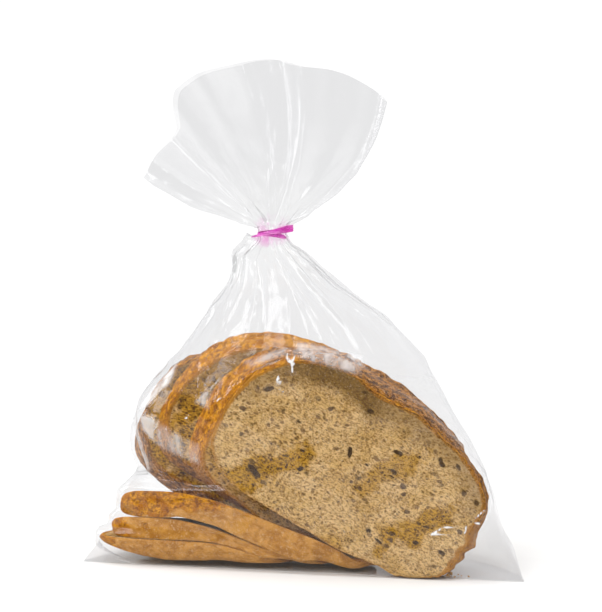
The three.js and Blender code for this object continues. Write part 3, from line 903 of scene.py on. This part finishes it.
for _ in range(17):
    off = (turn - rng.uniform(0, 2 * np.pi) + np.pi) % (2 * np.pi) - np.pi
    gather += rng.uniform(0.6, 1.2) * np.exp(-np.abs(off) / 0.085)
grip_rows = np.exp(-((np.arange(ROWS) - (BASE_ROWS + BELLY_ROWS + NECK_ROWS * 0.8)) / 10.0) ** 2)
ripple += 1.1 * (gather - gather.mean())[None] * grip_rows[:, None]
normal = normals_of(film)
in_front = step(-normal[..., 1], 0.0, 0.35)
# x and z of each end of a fold, how tall and how wide
FOLDS = [
    ((-63, 142), (-60, 100), 1.0, 0.9), ((-59, 138), (-57, 103), 0.8, 0.8),
    ((-46, 189), (-49, 150), 1.3, 1.2), ((-31.5, 184), (-34, 156), 1.2, 1.0),
    ((-12, 183), (-6, 138), 1.2, 1.0), ((-15, 185), (29, 147), 1.6, 1.4),
    ((-24.5, 208), (-23, 268), 1.8, 1.5), ((-31, 210), (-74, 262), 1.4, 1.5),
    ((-20, 208), (22, 250), 1.0, 1.3), ((34, 128), (48, 108), 0.9, 0.9),
    ((-106, 62), (-84, 88), 1.0, 1.0), ((-84, 88), (-66, 60), 0.9, 0.9),
    ((-90, 30), (-60, 47), 0.6, 0.8),
]
for start, end, tall, wide in FOLDS:
    ripple += in_front * tall * line_fold(film, start, end, wide)
# small sharp puckers where the film is stuck to the bread, and how white they show, which stands
# in for the glints of a lamp
PUCKERS = [
    ((80, 26.5), (89, 32.5), 1), ((86, 31.7), (104, 33.3), 1), ((79, 27.5), (103, 28.5), 1),
    ((102.3, 34.5), (100.7, 27), 1), ((106, 37), (113.5, 44), 1), ((105, 34.5), (111, 35.5), 1),
    ((-11, 119.5), (-12, 109.5), 1), ((-13.5, 111.5), (-7, 108.5), 1), ((-11, 119), (-8, 109), 1),
    ((-7.5, 132), (-3, 126), 1), ((-0.5, 132), (-3.5, 125), 1), ((-3.5, 128), (-2, 119), 1),
    ((-8.5, 129), (0.5, 125), 1), ((-50, 100), (-47, 104), 1), ((-70, 90), (-66, 92), 1),
    ((-59, 138), (-57.5, 117), 0.66), ((-56.5, 119), (-58, 104), 0.6), ((-53, 112), (-55, 104), 0.58),
]
puckers = sum(in_front * bright * line_fold(film, start, end, 0.62) for start, end, bright in PUCKERS)
puckers = np.clip(puckers, 0, 1)
# painted reflections: patches where the film is painted milky white for the lamps' glare on it, and how
# milky
SHEETS = [
    ([(-80, 123.5), (-105.5, 91.5), (-97, 94.5), (-82, 108)], 2.0),
    ([(-103.5, 90), (-100, 80), (-85, 70), (-60, 63), (-60, 76), (-76, 82.5), (-94, 90)], 1.2),
    ([(-64, 100.5), (-54, 96.5), (-48, 116.5)], 1.4),
    ([(-37, 125.5), (-28.3, 122), (-6, 130), (-8.4, 135)], 0.9),
    ([(-3.6, 138), (-3.6, 130), (38.6, 119.5), (38.6, 129.3), (21, 134.8)], 1.6),
]
doubled = np.zeros(film.shape[:2])
for corners, milk in SHEETS:
    doubled = np.maximum(doubled, outline_mask(film, corners) * in_front * milk)
ripple += 0.6 * np.minimum(doubled, 1.2)
loose = np.ones(film.shape[:2])
loose[:BASE_ROWS] = 0
belly_rows = slice(BASE_ROWS, BASE_ROWS + BELLY_ROWS)
loose[belly_rows] = 1 - 0.75 * touching
flat_film = film.reshape(-1, 3)
crumple = 0.75 * flats(flat_film, 210, 0.13, 95, 12).reshape(film.shape[:2])
crumple -= smooth_grid(crumple, 60)
for cell, tall, seed in ((34, 0.9, 1), (15, 0.5, 2), (7, 0.25, 3)):
    soft_noise = cloud(flat_film * (1, 1, 0.55) + 300, cell, 90 + seed).reshape(film.shape[:2])
    crumple += tall * (1 - 2 * np.abs(soft_noise))
crumple *= step(np.arange(ROWS)[:, None], BASE_ROWS + 1, BASE_ROWS + 12)
# small crinkles round the neck, where the film was squeezed by hand
squeezed = slice(BASE_ROWS + BELLY_ROWS - 42, ROWS - 12)
crinkle = flats(film[squeezed].reshape(-1, 3), 460, 0.26, 14, 31).reshape(film[squeezed].shape[:2])
crinkle -= smooth_grid(crinkle, 25)
from_tie = np.arange(ROWS)[squeezed, None] - (ROWS - FRILL_ROWS - 6)
crumple[squeezed] += 0.9 * crinkle * np.exp(-((from_tie / 21) ** 2))
total = ripple * loose + crumple * (0.45 + 0.55 * loose) * (1 - 0.65 * above)
stood_off = np.maximum(total[belly_rows] + 0.6, 0)
total[belly_rows] = total[belly_rows] * (1 - touching) + stood_off * touching
total += 1.3 * puckers
total[:BASE_ROWS] = 0
film = film + normal * total[..., None]
film[..., 2] = np.maximum(film[..., 2], 0.25)

faces = grid_faces(ROWS, FILM_AROUND, capped=False, flip=True)
bag_film = add_mesh("bag_film", film.reshape(-1, 3) * MM, faces)
bag_film.data.attributes.new("doubled", "FLOAT", "POINT").data.foreach_set("value", doubled.ravel())
bag_film.data.attributes.new("pucker", "FLOAT", "POINT").data.foreach_set("value", puckers.ravel())
n = Nodes("clear_film")
place = n.add("TexCoord", out=3)
creased = n.noise(place, 90, 4, 0.55, 0.8)
fine = n.noise(place, 420, 2, 0.5)
bump = n.add("Bump", Height=n.number("MULTIPLY_ADD", fine, 0.15, creased), Strength=0.22,
             Distance=0.0011)
glance = n.add("LayerWeight", out=1, Blend=0.5, Normal=bump)
mirror_share = n.number("MULTIPLY_ADD", n.number("POWER", glance, 4.0), 0.60, 0.034)
gloss = n.add("BsdfAnisotropic", Color=(0.97, 0.97, 0.98, 1), Roughness=0.13, Normal=bump)
away = n.add("VectorMath", out=1, settings={"operation": "DISTANCE"}, in0=place,
             in1=(NECK_X * MM, 0, 201 * MM))
# the clear film is tinted pink close to the tie
pink_near_tie = n.times(n.between(away, 0.0145, 0.006), n.between(creased, 0.40, 0.60))
thinned = n.blend(n.between(away, 0.055, 0.020), (0.893, 0.893, 0.897), (0.908, 0.908, 0.910))
clear = n.add("BsdfTransparent", Color=n.blend(pink_near_tie, thinned, (0.90, 0.62, 0.82)))
film_shader = n.add("MixShader", in0=mirror_share, in1=clear, in2=gloss)
milky = n.add("BsdfDiffuse", Color=(0.85, 0.85, 0.86, 1), Normal=bump)
haze_and_glare = n.between(n.noise(place, 30, 3, 0.6), 0.50, 0.78, 0.0, 0.022)
# painted reflections: streaked milky white on the glare patches, over a faint real haze
doubled = n.add("Attribute", out=2, settings={"attribute_name": "doubled"})
streaks = n.noise(n.stretched(place, (110, 110, 40), turn=(0, 0.5, 0)), 1.0, 4, 0.55, 0.4)
haze_and_glare = n.number("MULTIPLY_ADD", doubled, n.between(streaks, 0.34, 0.66, 0.10, 0.36), haze_and_glare)
# painted highlights: the film is painted white along the puckers, standing for glints
pucker = n.add("Attribute", out=2, settings={"attribute_name": "pucker"})
haze_and_glare = n.number("MAXIMUM", haze_and_glare, n.between(pucker, 0.36, 0.85, 0, 0.90))
bag_film.data.materials.append(n.finish(n.add("MixShader", in0=haze_and_glare, in1=film_shader, in2=milky)))
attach(bag_film, "root")
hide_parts("bag")

# ------------------------------------------------------------
# Tie: a strip of soft magenta plastic about 5 mm wide, wound once and a half round the gathered
# neck, with a thin folded tail at the left and a flattened loop at the right.
# ------------------------------------------------------------
# x, y and z of the strip's middle, and its width there
TIE_PATH = np.array([
    (-38.4, -4.0, 198.4, 0.7), (-34.8, -6.9, 199.2, 1.4), (-30.2, -8.6, 200.3, 2.0),
    (-25.0, -9.0, 201.5, 2.6), (-20.0, -8.3, 202.7, 3.2), (-15.8, -6.0, 203.6, 4.0),
    (-12.6, -2.4, 204.0, 4.2), (-14.2, 2.2, 203.4, 3.8), (-19.0, 6.8, 202.2, 3.4),
    (-26.5, 8.3, 201.0, 3.2), (-33.6, 6.4, 200.2, 3.0), (-35.4, 1.2, 199.9, 2.6),
    (-33.0, -5.2, 200.0, 2.2), (-28.0, -7.9, 200.2, 2.2), (-22.0, -7.7, 199.8, 2.6),
    (-18.4, -5.9, 198.9, 2.6), (-16.4, -4.2, 198.0, 1.0),
])


def smooth_path(knots, steps):
    """A Catmull-Rom curve through the knots, with this many points from each knot to the next."""
    padded = np.vstack([2 * knots[0] - knots[1], knots, 2 * knots[-1] - knots[-2]])
    t = (np.arange(steps) / steps)[None, :, None]
    a, b, c, d = (padded[k:len(padded) - 3 + k, None] for k in range(4))
    curve = 0.5 * (2 * b + (c - a) * t + (2 * a - 5 * b + 4 * c - d) * t**2
                   + (3 * b - a - 3 * c + d) * t**3)
    return np.vstack([curve.reshape(-1, knots.shape[1]), knots[-1]])


def wound_strip(path, thick, seed):
    """A thin strip along a path, closed at both ends: at each point a flat oval, width x thick,
    whose long way stands across the path, and which puckers as cos of a few turns across."""
    middle, wide = path[:, :3], path[:, 3]
    ahead = np.gradient(middle, axis=0)
    ahead /= np.linalg.norm(ahead, axis=1, keepdims=True)
    across = np.array([0, 0, 1.0]) - ahead[:, 2:3] * ahead
    across /= np.linalg.norm(across, axis=1, keepdims=True)
    outward = np.cross(ahead, across)
    a = np.arange(28) / 28 * 2 * np.pi
    u = np.cos(a)
    along = np.arange(len(path))[:, None] / len(path)
    pucker = 0.32 * np.cos(9 * u[None] + 40 * along) * np.sin(23 * along + 1) * (1 - u**2)[None]
    pucker += 0.20 * cloud((middle[:, None] + u[:, None] * 1.5).reshape(-1, 3), 1.6,
                           seed).reshape(len(path), -1)
    off = np.sin(a)[None] * thick / 2 + pucker
    ring = (middle[:, None] + across[:, None] * (u[None] * wide[:, None] / 2)[..., None]
            + outward[:, None] * off[..., None])
    points = np.vstack([ring.reshape(-1, 3), ring[0].mean(0), ring[-1].mean(0)])
    return points, grid_faces(*ring.shape[:2], flip=True)


points, faces = wound_strip(smooth_path(TIE_PATH, 14), 0.30, 4)
tie_strip = add_mesh("tie_strip", points * MM, faces)
n = Nodes("magenta_strip")
place = n.add("TexCoord", out=3)
streak = n.noise(n.stretched(place, (90, 90, 420)), 1.0, 3, 0.6)
tone = n.blend(n.between(streak, 0.36, 0.64), (0.66, 0.05, 0.49), (0.88, 0.28, 0.72))
bump = n.add("Bump", Height=n.noise(place, 900, 2), Strength=0.25, Distance=0.0004)
body = n.add("BsdfPrincipled", Base_Color=tone, Roughness=0.30, Normal=bump)
through = n.add("BsdfTransparent", Color=(0.96, 0.62, 0.88, 1))
right = n.between(n.add("SeparateXYZ", Vector=place), -0.021, -0.015, 0.20, 0.58)
share = n.number("MULTIPLY_ADD", streak, -0.25, n.number("ADD", right, 0.12))
tie_strip.data.materials.append(n.finish(n.add("MixShader", in0=share, in1=body, in2=through)))
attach(tie_strip, "root")
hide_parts("twist_tie")
